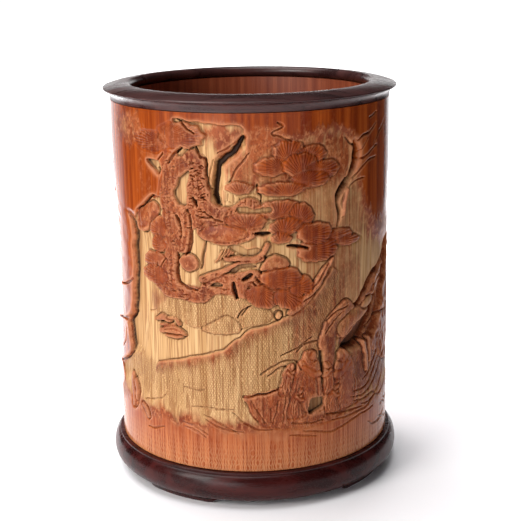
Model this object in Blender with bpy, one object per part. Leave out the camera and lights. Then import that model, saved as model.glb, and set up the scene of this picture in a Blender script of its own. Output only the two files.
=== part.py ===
"""Brush pot: a bamboo tube between a turned hardwood rim and a turned hardwood base on four feet.

Metres, +Z up. The origin is on the surface that the pot stands on, on the pot's axis, and the
main face of the pot looks towards -Y. Pieces that touch on the real pot, where glue fills the
joint, are drawn GLUE_GAP apart.
"""

import math

import bmesh
import bpy

MM = 0.001
GLUE_GAP = 0.3 * MM
SEGMENTS = 96

# Driving dimensions.
POT_HEIGHT = 165.0 * MM
TUBE_RADIUS = 57.7 * MM
TUBE_BORE = 50.0 * MM
TUBE_FOOT_Z = 15.2 * MM
TUBE_HEAD_Z = 158.6 * MM
RIM_RADIUS = 60.6 * MM
BASE_RADIUS = 61.9 * MM
FOOT_HEIGHT = 2.2 * MM

# The spigots turned on both ends of the tube, which the rim and the base fit round.
SPIGOT_RADIUS = 54.9 * MM
TOP_SPIGOT_Z = 160.4 * MM
BOTTOM_SPIGOT_Z = 9.6 * MM

# Rim ring: a hollow flare up to a sharp lip, a gently crowned top, and a half-round inner edge
# that stands in over the tube's bore.
LIP_Z = 163.0 * MM
LIP_LAND = 0.25 * MM
RIM_BORE = 49.0 * MM
RIM_ROLL = 2.2 * MM
CROWN_RADIUS = 52.4 * MM

# Base ring: a thin fillet under the tube, then a full half-round.
FILLET_RADIUS = 59.4 * MM
FILLET_HEIGHT = 0.9 * MM
FILLET_STEP = 0.7 * MM
UNDERSIDE_RADIUS = 56.4 * MM
BASE_BORE = 50.2 * MM
LEDGE_Z = 6.4 * MM

# Floor board: a disc with a stepped edge, held between the base's ledge and the tube's end.
BOARD_UNDERSIDE_Z = 4.2 * MM
BOARD_TOP_Z = BOTTOM_SPIGOT_Z - GLUE_GAP

# Feet: four low pads under the base ring.
FOOT_COUNT = 4
FIRST_FOOT_DEG = -124.0
FOOT_SPAN_DEG = 35.0
FOOT_INNER_RADIUS = 51.4 * MM
FOOT_OUTER_RADIUS = 57.6 * MM
FOOT_TOE_RADIUS = 56.6 * MM
FOOT_END_SHARE = 0.22
FOOT_END_LIFT = 1.5 * MM
FOOT_STATIONS = 20

ARC_STEPS = 10

COLOURS = {
    "bamboo": ((0.42, 0.12, 0.035, 1.0), 0.32),
    "rim_wood": ((0.062, 0.032, 0.030, 1.0), 0.38),
    "base_wood": ((0.034, 0.010, 0.010, 1.0), 0.26),
    "board_wood": ((0.085, 0.035, 0.025, 1.0), 0.55),
}


def clear_scene():
    for obj in list(bpy.data.objects):
        bpy.data.objects.remove(obj, do_unlink=True)


def make_materials():
    made = {}
    for name, (colour, roughness) in COLOURS.items():
        material = bpy.data.materials.new(name)
        material.use_nodes = True
        shader = material.node_tree.nodes["Principled BSDF"]
        shader.inputs["Base Color"].default_value = colour
        shader.inputs["Roughness"].default_value = roughness
        shader.inputs["Metallic"].default_value = 0.0
        made[name] = material
    return made


def quarter_arc(centre, half_axes, start_deg, end_deg):
    """Points of an elliptical arc in the (radius, height) plane, both ends included."""
    points = []
    for step in range(ARC_STEPS + 1):
        angle = math.radians(start_deg + (end_deg - start_deg) * step / ARC_STEPS)
        points.append(
            (
                centre[0] + half_axes[0] * math.cos(angle),
                centre[1] + half_axes[1] * math.sin(angle),
            )
        )
    return points


def add_object(name, bm, material):
    bmesh.ops.remove_doubles(bm, verts=bm.verts, dist=0.002 * MM)
    bmesh.ops.recalc_face_normals(bm, faces=bm.faces)
    mesh = bpy.data.meshes.new(name)
    bm.to_mesh(mesh)
    bm.free()
    mesh.shade_smooth()
    mesh.set_sharp_from_angle(angle=math.radians(35))
    mesh.materials.append(material)
    obj = bpy.data.objects.new(name, mesh)
    bpy.context.scene.collection.objects.link(obj)
    return obj


def turn(name, profile, material, closed=True):
    """Turns a profile of (radius, height) points round the pot's axis. An open one ends on the axis."""
    bm = bmesh.new()
    corners = [bm.verts.new((radius, 0.0, height)) for radius, height in profile]
    pairs = list(zip(corners, corners[1:]))
    if closed:
        pairs.append((corners[-1], corners[0]))
    edges = [bm.edges.new(pair) for pair in pairs]
    bmesh.ops.spin(
        bm,
        geom=corners + edges,
        cent=(0.0, 0.0, 0.0),
        axis=(0.0, 0.0, 1.0),
        angle=2.0 * math.pi,
        steps=SEGMENTS,
        use_merge=True,
    )
    return add_object(name, bm, material)


def tube_profile():
    return [
        (TUBE_BORE, BOTTOM_SPIGOT_Z),
        (SPIGOT_RADIUS, BOTTOM_SPIGOT_Z),
        (SPIGOT_RADIUS, TUBE_FOOT_Z),
        (TUBE_RADIUS, TUBE_FOOT_Z),
        (TUBE_RADIUS, TUBE_HEAD_Z),
        (SPIGOT_RADIUS, TUBE_HEAD_Z),
        (SPIGOT_RADIUS, TOP_SPIGOT_Z),
        (TUBE_BORE, TOP_SPIGOT_Z),
    ]


def rim_profile():
    skirt_z = TUBE_HEAD_Z + GLUE_GAP
    socket_radius = SPIGOT_RADIUS + GLUE_GAP
    # The flare is a quarter of an ellipse whose centre lies outside and below the lip.
    flare = quarter_arc(
        (RIM_RADIUS, skirt_z), (RIM_RADIUS - TUBE_RADIUS, LIP_Z - skirt_z), 180, 90
    )
    # The top rises from the lip to the crown, then rolls over and back under into the bore.
    crown_rise = POT_HEIGHT - LIP_Z - LIP_LAND
    crown = quarter_arc(
        (CROWN_RADIUS, LIP_Z + LIP_LAND), (RIM_RADIUS - CROWN_RADIUS, crown_rise), 0, 90
    )
    seat_z = TOP_SPIGOT_Z + GLUE_GAP
    middle = (RIM_BORE + RIM_ROLL, (POT_HEIGHT + seat_z) / 2.0)
    half_axes = (RIM_ROLL, (POT_HEIGHT - seat_z) / 2.0)
    roll = quarter_arc(middle, half_axes, 90, 180) + quarter_arc(middle, half_axes, 180, 270)[1:]
    inner = [(socket_radius, seat_z), (socket_radius, skirt_z)]
    return flare + crown + roll + inner


def base_profile():
    top_z = TUBE_FOOT_Z - GLUE_GAP
    fillet_z = top_z - FILLET_HEIGHT
    socket_radius = SPIGOT_RADIUS + GLUE_GAP
    middle_z = (fillet_z + FOOT_HEIGHT) / 2.0
    half_height = (fillet_z - FOOT_HEIGHT) / 2.0
    upper = quarter_arc(
        (FILLET_RADIUS - FILLET_STEP, middle_z),
        (BASE_RADIUS - FILLET_RADIUS + FILLET_STEP, half_height),
        90,
        0,
    )
    lower = quarter_arc(
        (UNDERSIDE_RADIUS, middle_z),
        (BASE_RADIUS - UNDERSIDE_RADIUS, half_height),
        0,
        -90,
    )
    fillet = [(FILLET_RADIUS, top_z), (FILLET_RADIUS, fillet_z)]
    inner = [
        (BASE_BORE, FOOT_HEIGHT),
        (BASE_BORE, LEDGE_Z),
        (socket_radius, LEDGE_Z),
        (socket_radius, top_z),
    ]
    return fillet + upper + lower[1:] + inner


def board_profile():
    flange_radius = SPIGOT_RADIUS
    boss_radius = BASE_BORE - GLUE_GAP
    return [
        (0.0, BOARD_UNDERSIDE_Z),
        (boss_radius, BOARD_UNDERSIDE_Z),
        (boss_radius, LEDGE_Z + GLUE_GAP),
        (flange_radius, LEDGE_Z + GLUE_GAP),
        (flange_radius, BOARD_TOP_Z),
        (0.0, BOARD_TOP_Z),
    ]


def foot_bottom(share):
    """Height of a foot's sole, where share runs from -1 at one end of the foot to 1 at the other."""
    into_end = max(0.0, (abs(share) - 1.0 + FOOT_END_SHARE) / FOOT_END_SHARE)
    return FOOT_END_LIFT * (1.0 - math.sqrt(1.0 - into_end * into_end))


def foot(name, middle_deg, material):
    """A pad that follows the ring, with a flat sole and ends that curl up to the ring."""
    top_z = FOOT_HEIGHT - GLUE_GAP
    bm = bmesh.new()
    sections = []
    for station in range(FOOT_STATIONS + 1):
        share = 2.0 * station / FOOT_STATIONS - 1.0
        angle = math.radians(middle_deg + share * FOOT_SPAN_DEG / 2.0)
        sole_z = foot_bottom(share)
        corners = [
            (FOOT_INNER_RADIUS, top_z),
            (FOOT_INNER_RADIUS, sole_z),
            (FOOT_TOE_RADIUS, sole_z),
            (FOOT_OUTER_RADIUS, top_z),
        ]
        sections.append(
            [
                bm.verts.new((r * math.cos(angle), r * math.sin(angle), z))
                for r, z in corners
            ]
        )
    for one, other in zip(sections, sections[1:]):
        for corner in range(4):
            after = (corner + 1) % 4
            bm.faces.new((one[corner], one[after], other[after], other[corner]))
    bm.faces.new(sections[0])
    bm.faces.new(sections[-1])
    return add_object(name, bm, material)


def build():
    clear_scene()
    materials = make_materials()
    turn("bamboo_tube", tube_profile(), materials["bamboo"])
    turn("rim_ring", rim_profile(), materials["rim_wood"])
    turn("base_ring", base_profile(), materials["base_wood"])
    turn("floor_board", board_profile(), materials["board_wood"], closed=False)
    for index in range(FOOT_COUNT):
        middle_deg = FIRST_FOOT_DEG + 360.0 / FOOT_COUNT * index
        foot(f"foot_{index + 1}", middle_deg, materials["base_wood"])


build()
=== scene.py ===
"""Looks of the brush pot: a bamboo tube carved in relief, between a turned rim and a turned base.

The pieces are built in metres in the CAD model's own frame. The relief is drawn in millimetres on
the unrolled skin of the tube: s runs round the tube to the right, seen from outside, and is 0 in
the middle of the front; z is the height above the table. Its height is 0 on the polished skin and
negative where the carver went in.
"""

import math

import bpy
import numpy as np
from mathutils import Matrix, Vector


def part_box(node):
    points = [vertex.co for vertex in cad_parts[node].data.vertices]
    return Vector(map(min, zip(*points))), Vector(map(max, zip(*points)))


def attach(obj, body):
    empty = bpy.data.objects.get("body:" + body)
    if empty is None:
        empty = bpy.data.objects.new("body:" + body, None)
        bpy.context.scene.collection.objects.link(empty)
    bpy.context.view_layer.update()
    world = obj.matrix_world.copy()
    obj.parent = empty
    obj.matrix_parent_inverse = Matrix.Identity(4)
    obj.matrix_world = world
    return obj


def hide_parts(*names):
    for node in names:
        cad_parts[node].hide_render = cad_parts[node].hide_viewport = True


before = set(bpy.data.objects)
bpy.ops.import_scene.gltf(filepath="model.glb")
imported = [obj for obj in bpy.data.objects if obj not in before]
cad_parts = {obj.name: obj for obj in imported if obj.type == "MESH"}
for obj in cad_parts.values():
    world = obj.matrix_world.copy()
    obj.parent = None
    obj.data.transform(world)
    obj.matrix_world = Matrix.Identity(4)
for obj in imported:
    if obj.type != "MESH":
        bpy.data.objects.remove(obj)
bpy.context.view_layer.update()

MM = 0.001
FULL_TURN = 2.0 * math.pi

# Places read from the CAD nodes, in mm.
TUBE_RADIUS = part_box("bamboo_tube")[1].x / MM
TUBE_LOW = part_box("bamboo_tube")[0].z / MM
TUBE_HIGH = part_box("bamboo_tube")[1].z / MM
RIM_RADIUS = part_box("rim_ring")[1].x / MM
RIM_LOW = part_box("rim_ring")[0].z / MM
RIM_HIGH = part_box("rim_ring")[1].z / MM
BASE_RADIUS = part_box("base_ring")[1].x / MM
BASE_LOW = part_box("base_ring")[0].z / MM
BASE_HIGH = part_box("base_ring")[1].z / MM

# Sizes that repeat the CAD model's own, in mm.
GLUE_GAP = 0.3
TUBE_BORE = 50.0
SPIGOT_RADIUS = 54.9
SOCKET_RADIUS = SPIGOT_RADIUS + GLUE_GAP
RIM_BORE = 49.0
RIM_ROLL = 2.2
LIP_Z = 163.0
BASE_BORE = 50.2
LEDGE_Z = 6.4
FILLET_RADIUS = 59.4
FILLET_HEIGHT = 0.9
FILLET_STEP = 0.7
UNDERSIDE_RADIUS = 56.4

SKIN_FOOT = BASE_HIGH + GLUE_GAP
SKIN_HEAD = RIM_LOW - GLUE_GAP
GIRTH = FULL_TURN * TUBE_RADIUS

# Fineness of the meshes: the carved grid's spacing in mm, and the turned rings' segments.
GRID = 0.3
RING_SEGMENTS = 256
TURNING_WOBBLE = 0.04

# Carving levels, in mm from the polished skin, and how much red skin is left there, from 0 to 1.
DEEPEST = -5.2
PROUDEST = 0.05
SKY_LEVEL = -1.3
TRUNK_LEVEL = -0.55
FLESH = 0.0
BARE = 0.12
WORN = 0.62
RED = 0.85
SKIN = 1.0

# How far a drawn edge is softened, and how wide the fine cut beside it is, in mm.
EDGE = 0.35

# The view: place and lens, then yaw, pitch and roll in radians.
CAMERA_PLACE = (0.0, -0.5095, 0.2213)
CAMERA_LENS = 84.6
CAMERA_SENSOR = 36.0
CAMERA_YAW, CAMERA_PITCH, CAMERA_ROLL = 0.0065, 0.2575, 0.0140

# Lamps: place, aim, size, power, colour, and whether polished wood reflects them. In metres, watts.
LAMPS = {
    "key": ((-0.75, -0.65, 0.6), (0, 0, 0.08), (0.5, 0.6), 9.5, (1.0, 0.98, 0.95), True),
    "front": ((-0.5, -1.0, 0.2), (0, 0, 0.05), (0.6, 0.3), 3.8, (0.98, 0.98, 1.0), True),
    "behind_left": ((-0.2, 0.38, 0.14), (-0.2, 0.38, 0), (0.2, 0.4), 3.0, (1, 1, 1), False),
    "behind_right": ((0.14, 0.42, 0.14), (0.14, 0.42, 0), (0.15, 0.35), 1.5, (1, 1, 1), False),
    "horizon": ((0, 3.0, 0.5), (0, 0, 0.16), (3.0, 0.25), 9.0, (1, 1, 1), True),
    "backdrop": ((0, 2.4, 1.0), (0, 2.4, 0), (4.0, 2.6), 80.0, (1, 1, 1), False),
}
SKY_STRENGTH = 2.5
SKY_SPREAD_DEG = 50.0
SKY_TILT_DEG = (-3.0, -14.0, 0.0)
WORLD_STRENGTH = 0.05
WORLD_COLOUR = (0.95, 0.97, 1.0, 1)
FLOOR_REACH = 9.0

# Black cards: the two ends of each card's foot, and its height.
FLAGS = {
    "flag_right": ((0.33, -0.35), (0.33, 0.5), 0.4),
    "flag_left": ((-0.42, -0.12), (-0.31, 0.20), 0.13),
}

# Woods: dark and light streaks, roughness, and strength of the shine.
WOODS = {
    "rim_wood": ((0.022, 0.007, 0.007, 1), (0.064, 0.021, 0.019, 1), 0.28, 0.4),
    "base_wood": ((0.014, 0.002, 0.002, 1), (0.050, 0.007, 0.006, 1), 0.26, 0.2),
    "board_wood": ((0.060, 0.025, 0.018, 1), (0.120, 0.055, 0.040, 1), 0.5, 0.2),
}
WOOD_PORE = (0.008, 0.003, 0.003, 1)

# Bamboo: dark and light of the polished skin, the skin near the foot, worn carving and bare flesh.
SKIN_COLOURS = (0.15, 0.018, 0.003, 1), (0.35, 0.070, 0.011, 1)
SKIN_FIBRE = (0.12, 0.014, 0.003, 1)
LOW_SKIN_COLOURS = (0.25, 0.045, 0.012, 1), (0.43, 0.125, 0.042, 1)
FLAME = (0.55, 0.29, 0.13, 1)
WORN_COLOURS = (0.16, 0.026, 0.006, 1), (0.31, 0.074, 0.021, 1)
WORN_GRAIN = (0.54, 0.21, 0.085, 1)
WORN_SPECK = (0.11, 0.018, 0.006, 1)
LOW_WORN = (0.42, 0.15, 0.06, 1)
FLESH_COLOURS = (0.44, 0.235, 0.09, 1), (0.64, 0.40, 0.19, 1)
FLESH_FIBRE = (0.25, 0.095, 0.028, 1)
# Painted shade for the pits and the needle grooves.
PIT_SHADE = (0.50, 0.34, 0.24, 1)
NEEDLE_SHADE = (0.50, 0.34, 0.26, 1)
# Painted shade: brown, then near black, for places that lie below their surroundings.
HOLLOW_SHADE_BROWN = (0.13, 0.040, 0.014, 1)
HOLLOW_SHADE_BLACK = (0.02, 0.007, 0.003, 1)
# Raised edges: partly rubbed wear, partly a painted highlight.
RUBBED_EDGE_AND_HIGHLIGHT = (0.62, 0.26, 0.12, 1)
BORE_COLOURS = (0.19, 0.034, 0.012, 1), (0.34, 0.085, 0.034, 1)
BORE_FIBRE = (0.09, 0.014, 0.006, 1)


# ---------------------------------------------------------------- numbers and curves


def smooth(low, high, value):
    """Rises softly from 0 at low to 1 at high."""
    share = np.clip((value - low) / (high - low), 0.0, 1.0)
    return share * share * (3.0 - 2.0 * share)


def curve_through(points, closed=False, steps=5):
    """Points along a Catmull-Rom curve through the given points."""
    points = np.array(points, float)
    if closed:
        before = np.roll(points, 1, axis=0)
        after = np.roll(points, -1, axis=0)
        beyond = np.roll(points, -2, axis=0)
        start = points
    else:
        start, after = points[:-1], points[1:]
        before = np.vstack((2.0 * points[:1] - points[1:2], points[:-2]))
        beyond = np.vstack((points[2:], 2.0 * points[-1:] - points[-2:-1]))
    made = []
    for a, b, c, d in zip(before, start, after, beyond):
        for step in range(steps):
            t = step / steps
            linear = (c - a) * t
            square = (2.0 * a - 5.0 * b + 4.0 * c - d) * t**2
            cube = (3.0 * b - a - 3.0 * c + d) * t**3
            made.append(0.5 * (2.0 * b + linear + square + cube))
    made.append(points[0] if closed else points[-1])
    return np.array(made)


def distance_to_path(s, z, path):
    """Distance to a path of (s, z, half-width), the half-width there, and which side a place is on."""
    nearest = np.full(s.shape, np.inf)
    width = np.zeros(s.shape)
    side = np.zeros(s.shape)
    for start, end in zip(path[:-1], path[1:]):
        run_s, run_z = end[0] - start[0], end[1] - start[1]
        length = max(run_s * run_s + run_z * run_z, 1e-9)
        share = ((s - start[0]) * run_s + (z - start[1]) * run_z) / length
        share = np.clip(share, 0.0, 1.0)
        gap_s = s - start[0] - share * run_s
        gap_z = z - start[1] - share * run_z
        gap = np.hypot(gap_s, gap_z)
        closer = gap < nearest
        nearest = np.where(closer, gap, nearest)
        width = np.where(closer, start[2] + share * (end[2] - start[2]), width)
        side = np.where(closer, np.sign(run_s * gap_z - run_z * gap_s), side)
    return nearest, width, side


def inside_distance(s, z, outline):
    """Distance to a closed outline, positive inside it."""
    path = np.column_stack((outline[:, :2], np.zeros(len(outline))))
    gap = distance_to_path(s, z, path)[0]
    inside = np.zeros(s.shape, bool)
    for (s0, z0), (s1, z1) in zip(outline[:-1, :2], outline[1:, :2]):
        if z0 != z1:
            crossing = s0 + (s1 - s0) * (z - z0) / (z1 - z0)
            inside ^= ((z0 > z) != (z1 > z)) & (s < crossing)
    return np.where(inside, gap, -gap)


# ---------------------------------------------------------------- the relief and its tools


class Relief:
    """The unrolled skin as a grid of heights that meets itself at the back."""

    def __init__(self):
        self.columns = round(GIRTH / GRID)
        self.rows = round((SKIN_HEAD - SKIN_FOOT) / GRID) + 1
        self.step_s = GIRTH / self.columns
        self.step_z = (SKIN_HEAD - SKIN_FOOT) / (self.rows - 1)
        size = (self.rows, self.columns)
        self.height = np.zeros(size)
        self.tone = np.full(size, SKIN)
        self.stipple = np.zeros(size)
        self.comb = np.zeros(size)
        self.strand = np.zeros(size)
        self.sway_s = 0.35 * self.noise(3.2, 3.2, 1) + 0.12 * self.noise(1.1, 1.1, 2)
        self.sway_z = 0.35 * self.noise(3.2, 3.2, 3) + 0.12 * self.noise(1.1, 1.1, 4)
        self.fibres = self.noise(0.8, 14.0, 5) + 0.6 * self.noise(1.7, 30.0, 6)
        self.punches = self.noise(0.85, 1.5, 7)
        self.lumps = self.noise(2.6, 2.2, 8)
        self.facets = self.noise(4.2, 6.5, 9) + 0.5 * self.noise(2.0, 3.0, 10)

    def noise(self, size_s, size_z, seed):
        """Smooth noise from -1 to 1, with spots about size_s wide and size_z high."""
        across = max(4, round(GIRTH / size_s))
        up = round((SKIN_HEAD - SKIN_FOOT) / size_z) + 3
        spots = np.random.default_rng(seed).uniform(-1.0, 1.0, (up, across))
        at_s = np.arange(self.columns) * across / self.columns
        at_z = np.arange(self.rows) * (up - 2) / self.rows
        col, row = at_s.astype(int), at_z.astype(int)
        share_s = smooth(0.0, 1.0, at_s - col)[None, :]
        share_z = smooth(0.0, 1.0, at_z - row)[:, None]
        right = (col + 1) % across
        low = spots[row][:, col] * (1.0 - share_s) + spots[row][:, right] * share_s
        high = spots[row + 1][:, col] * (1.0 - share_s) + spots[row + 1][:, right] * share_s
        return low * (1.0 - share_z) + high * share_z

    def blurred(self, values, passes, reach=1):
        """A soft copy of values. Each pass mixes every place with those a reach away."""
        for _ in range(passes):
            values = 0.5 * values + 0.25 * (np.roll(values, reach, 1) + np.roll(values, -reach, 1))
            padded = np.pad(values, ((reach, reach), (0, 0)), mode="edge")
            values = 0.5 * values + 0.25 * (padded[:-2 * reach] + padded[2 * reach:])
        return values

    def hollow(self):
        """How deep a place lies below its surroundings, near and far. Edges are below 0. The material
        paints shade by it, and lightens the edges.
        """
        near = self.blurred(self.height, 3)
        wide = self.blurred(near, 40)
        broad = self.blurred(wide, 40, reach=4)
        # chasm adds painted shade on the floors of broad deep hollows.
        chasm = np.maximum(broad - wide - 0.9, 0.0)
        return 2.0 * (near - self.height) + 0.5 * (wide - near) + 0.5 * chasm


class Patch:
    """The part of the relief round one feature, with every place's own s and z."""

    def __init__(self, relief, points, margin):
        low_s, high_s = points[:, 0].min() - margin, points[:, 0].max() + margin
        low_z, high_z = points[:, 1].min() - margin, points[:, 1].max() + margin
        columns = np.arange(
            math.floor((low_s + GIRTH / 2.0) / relief.step_s),
            math.ceil((high_s + GIRTH / 2.0) / relief.step_s) + 1,
        )
        rows = np.arange(
            max(0, math.floor((low_z - SKIN_FOOT) / relief.step_z)),
            min(relief.rows, math.ceil((high_z - SKIN_FOOT) / relief.step_z) + 1),
        )
        self.relief = relief
        self.index = np.ix_(rows, columns % relief.columns)
        s, z = np.meshgrid(
            columns * relief.step_s - GIRTH / 2.0, SKIN_FOOT + rows * relief.step_z
        )
        self.s = s + relief.sway_s[self.index]
        self.z = z + relief.sway_z[self.index]

    def field(self, name):
        return getattr(self.relief, name)[self.index]

    def blend(self, target, share, tone, stipple=0.0, comb=0.0):
        """Moves the heights to target, and the paint with them, by a share per place."""
        tone = tone + 0.05 * self.field("lumps") + 0.06 * self.field("fibres")
        changes = {"height": target, "tone": tone, "stipple": stipple, "comb": comb}
        for name, value in changes.items():
            values = getattr(self.relief, name)
            values[self.index] = values[self.index] * (1.0 - share) + value * share

    def lower(self, amount):
        self.relief.height[self.index] -= amount

    def cut_edge(self, inside, depth):
        """A fine cut just outside an outline."""
        self.lower(depth * np.exp(-(((inside + EDGE) / EDGE) ** 2)))

    def number(self, values, where):
        """Counts needles across a pad, so that the material can draw each one."""
        strand = self.relief.strand
        strand[self.index] = np.where(where, values, strand[self.index])


# Surface textures. Each returns heights in mm for the places of a patch.


def fibrous(patch):
    return 0.07 * patch.field("fibres")


def punched(patch):
    return -0.17 * smooth(-0.1, 0.7, patch.field("punches")) + 0.03 * patch.field("fibres")


def bark(patch):
    ridges = 0.13 * patch.field("fibres") + 0.16 * patch.field("lumps")
    return ridges - 0.1 * smooth(0.2, 0.8, patch.field("punches"))


def rocky(patch):
    """Faces between soft ridges, with short cracks."""
    ridges = np.abs(patch.field("facets"))
    return -0.6 * smooth(0.0, 0.8, ridges) + 0.1 * patch.field("lumps") + 0.1 * patch.field("fibres")


def smooth_face(patch):
    return 0.04 * patch.field("lumps")


# How thickly a texture is set with the small pits that the material draws. Others have none.
PITS = {punched: 1.0, bark: 0.5, rocky: 0.2}


class Pen:
    """Draws carved features on a relief. It can be moved round and up the tube, and mirrored."""

    def __init__(self, relief, shift=(0.0, 0.0), mirror=False, size=1.0):
        self.relief = relief
        self.shift = shift
        self.size = size
        self.turn = -1.0 if mirror else 1.0

    def place(self, points):
        placed = np.array(points, float)
        placed[..., 0] = placed[..., 0] * self.turn * self.size + self.shift[0]
        placed[..., 1] = placed[..., 1] * self.size + self.shift[1]
        if placed.shape[-1] == 3:
            placed[..., 2] *= self.size
        return placed

    def within(self, outline, margin):
        """The patch round a smooth closed outline, and how far inside it each place is."""
        path = curve_through(self.place(outline), closed=True)
        patch = Patch(self.relief, path, margin)
        return patch, inside_distance(patch.s, patch.z, path)

    def near_path(self, path, margin):
        """The patch round a smooth path of (s, z, half-width), then distance_to_path's results."""
        path = curve_through(self.place(path))
        patch = Patch(self.relief, path, path[:, 2].max() + margin)
        return patch, *distance_to_path(patch.s, patch.z, path)

    def region(self, outline, level, tone, wall=0.55, crown=0.0, soft=1.6, edge=0.0,
               texture=fibrous):
        """Sets the inside of a smooth outline to a level, with a rounded crown and a cut-in edge."""
        patch, inside = self.within(outline, max(1.5, wall))
        rise = crown * (1.0 - np.exp(-np.maximum(inside, 0.0) / soft))
        share = smooth(-wall / 2.0, wall / 2.0, inside)
        patch.blend(level + rise + texture(patch), share, tone, PITS.get(texture, 0.0))
        patch.cut_edge(inside, edge)

    def stain(self, outline, tone, wall):
        """Changes only how much red is left, with a soft border."""
        patch, inside = self.within(outline, wall)
        inside = inside + 0.35 * wall * patch.field("fibres")
        share = smooth(-wall / 2.0, wall / 2.0, inside)
        patch.blend(patch.field("height"), share, tone, patch.field("stipple"), patch.field("comb"))

    def pad(self, centre, half, root, level, lobes=9, tone=RED):
        """A cushion of pine needles: an oval with a lobed edge and needles that fan from its root."""
        centre, root = self.place(centre), self.place(root)
        half = np.array(half, float) * self.size
        reach = max(half) + 2.0
        patch = Patch(self.relief, np.array([centre - reach, centre + reach]), 0.5)
        along = (patch.s - centre[0]) / half[0]
        up = (patch.z - centre[1]) / half[1]
        around = np.arctan2(up, along)
        limit = 1.0 + 0.035 * np.cos(lobes * around) + 0.035 * patch.field("lumps")
        inside = (limit - np.hypot(along, up)) * min(half)
        aim = centre - root
        ahead = (patch.s - root[0]) * aim[0] + (patch.z - root[1]) * aim[1]
        aside = (patch.z - root[1]) * aim[0] - (patch.s - root[0]) * aim[1]
        length = np.hypot(patch.s - root[0], patch.z - root[1])
        middle = max(2.5, math.hypot(*aim))
        needle_pitch = 0.7
        strand = np.arctan2(aside, ahead) * middle / needle_pitch
        target = level + 0.3 * (1.0 - np.exp(-np.maximum(inside, 0.0) / 1.2))
        target += 0.05 * patch.field("lumps") - 0.035 * (0.5 - 0.5 * np.cos(math.pi * strand))
        combed = smooth(0.15 * middle, 0.7 * middle, length)
        patch.blend(target, smooth(-EDGE, EDGE, inside), tone, 0.0, combed)
        patch.number(strand, inside > -0.6)
        patch.cut_edge(inside, 0.3)

    def bough(self, path, level=TRUNK_LEVEL, crown=0.5, edge=0.5, texture=bark, tone=WORN):
        """A rounded ridge along a path of (s, z, half-width)."""
        patch, gap, width, _ = self.near_path(path, 2.0)
        inside = width - gap
        round_top = np.sqrt(np.clip(1.0 - (gap / np.maximum(width, 0.1)) ** 2, 0.0, 1.0))
        target = level + crown * round_top + texture(patch)
        patch.blend(target, smooth(-EDGE, EDGE, inside), tone, PITS.get(texture, 0.0))
        patch.cut_edge(inside, edge)

    def groove(self, path, depth, lean=0.0):
        """A cut along a path of (s, z, half-width). With lean, it is steep on one side."""
        patch, gap, width, side = self.near_path(path, 1.5)
        across = gap / np.maximum(width, 0.1)
        profile = smooth(1.25, 0.35, across)
        profile *= 1.0 - lean * smooth(0.0, 1.0, across * side * self.turn)
        patch.lower(depth * profile)

    def grooves(self, depth, paths, lean=0.0):
        for path in paths:
            self.groove(path, depth, lean)

    def hole(self, outline, level):
        """A window cut down to a level, never up to it."""
        patch, inside = self.within(outline, 1.5)
        target = np.minimum(patch.field("height"), level + fibrous(patch))
        patch.blend(target, smooth(-0.25, 0.25, inside), FLESH)

    def specks(self, low, high, count, seed, depth=0.35):
        """Short cuts scattered over the red wood between two corners."""
        random = np.random.default_rng(seed)
        for _ in range(count):
            s, z = random.uniform(low, high)
            reach = random.uniform(0.25, 0.7)
            rise = random.uniform(-0.3, 0.3)
            ends = [(s - reach, z - rise, 0.28), (s + reach, z + rise, 0.28)]
            placed = self.place(ends)[0]
            column = round((placed[0] + GIRTH / 2.0) / self.relief.step_s) % self.relief.columns
            row = round((placed[1] - SKIN_FOOT) / self.relief.step_z)
            if self.relief.tone[row, column] > 0.4:
                self.groove(ends, depth)

    def ticks(self, start, end, count, length, depth, turned=0.0):
        """A row of short cuts from start to end."""
        reach_s = 0.5 * length * math.cos(math.radians(turned))
        reach_z = 0.5 * length * math.sin(math.radians(turned))
        for share in np.linspace(0.0, 1.0, count):
            s = start[0] + share * (end[0] - start[0])
            z = start[1] + share * (end[1] - start[1])
            self.groove([(s - reach_s, z - reach_z, 0.3), (s + reach_s, z + reach_z, 0.3)], depth)


# ---------------------------------------------------------------- the front: pine, river, boat


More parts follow.
